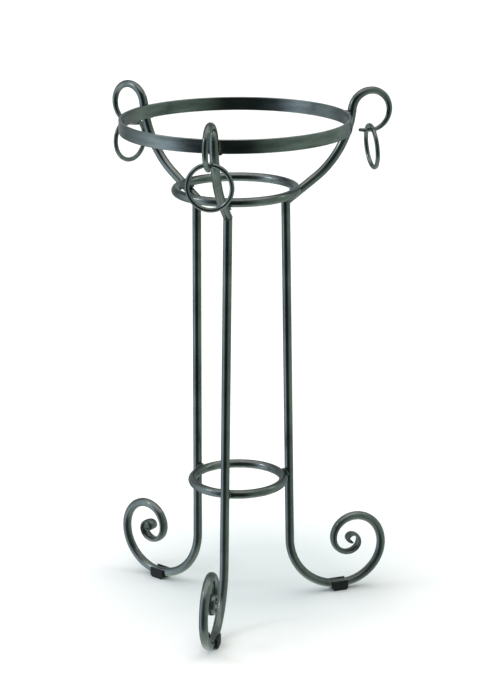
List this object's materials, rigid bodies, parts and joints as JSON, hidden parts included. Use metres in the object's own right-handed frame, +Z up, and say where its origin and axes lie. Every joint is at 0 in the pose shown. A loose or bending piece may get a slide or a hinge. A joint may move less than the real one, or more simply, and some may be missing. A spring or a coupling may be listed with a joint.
{
  "type": "umbrella stand",
  "caption": "Free-standing wrought-iron umbrella stand: scroll-footed bar legs, curled arms with loose rings, a flat open rim band and two bar rings.",
  "frame": {"origin": "on the floor, under the middle of the stand's outer box; the stand's own upright axis passes through x = 0, y = +34.5 mm", "axes": "+Z up; -Y towards the front leg; the other two legs stand 30 degrees above +X and above -X; +X to the right seen from the front"},
  "size_m": [0.3856, 0.375, 0.7147],
  "materials": {
    "iron_paint": "satin gunmetal paint over forged iron",
    "weld_paint": "the same paint over rough weld beads",
    "pad_rubber": "matt black moulded rubber"
  },
  "bodies": {
    "stand": {"leg_front": "iron_paint", "leg_right": "iron_paint", "leg_left": "iron_paint", "arm_front": "iron_paint", "arm_right": "iron_paint", "arm_left": "iron_paint", "rim_band": "iron_paint", "upper_ring": "iron_paint", "lower_ring": "iron_paint", "spacer_plate_front": "iron_paint", "spacer_plate_right": "iron_paint", "spacer_plate_left": "iron_paint", "foot_pad_front": "pad_rubber", "foot_pad_right": "pad_rubber", "foot_pad_left": "pad_rubber", "mitre_weld_front": "weld_paint", "mitre_weld_right": "weld_paint", "mitre_weld_left": "weld_paint", "upper_ring_weld_front": "weld_paint", "upper_ring_weld_right": "weld_paint", "upper_ring_weld_left": "weld_paint", "lower_ring_weld_front": "weld_paint", "lower_ring_weld_right": "weld_paint", "lower_ring_weld_left": "weld_paint", "rim_weld_front_a": "weld_paint", "rim_weld_front_b": "weld_paint", "rim_weld_right_a": "weld_paint", "rim_weld_right_b": "weld_paint", "rim_weld_left_a": "weld_paint", "rim_weld_left_b": "weld_paint"},
    "ring_front": {"loose_ring_front": "iron_paint"},
    "ring_right": {"loose_ring_right": "iron_paint"},
    "ring_left": {"loose_ring_left": "iron_paint"}
  },
  "joints": [
    {"name": "ring_swing_front", "type": "hinge", "parent": "stand", "child": "ring_front", "pos_m": [0.00416, -0.1568, 0.65603], "axis": [0, -1, 0], "range_deg": [-80, 80]},
    {"name": "ring_swing_right", "type": "hinge", "parent": "stand", "child": "ring_right", "pos_m": [0.16567, 0.13016, 0.65606], "axis": [0.866, 0.5, 0], "range_deg": [-80, 80]},
    {"name": "ring_swing_left", "type": "hinge", "parent": "stand", "child": "ring_left", "pos_m": [-0.16567, 0.13016, 0.65606], "axis": [-0.866, 0.5, 0], "range_deg": [-80, 80]}
  ]
}
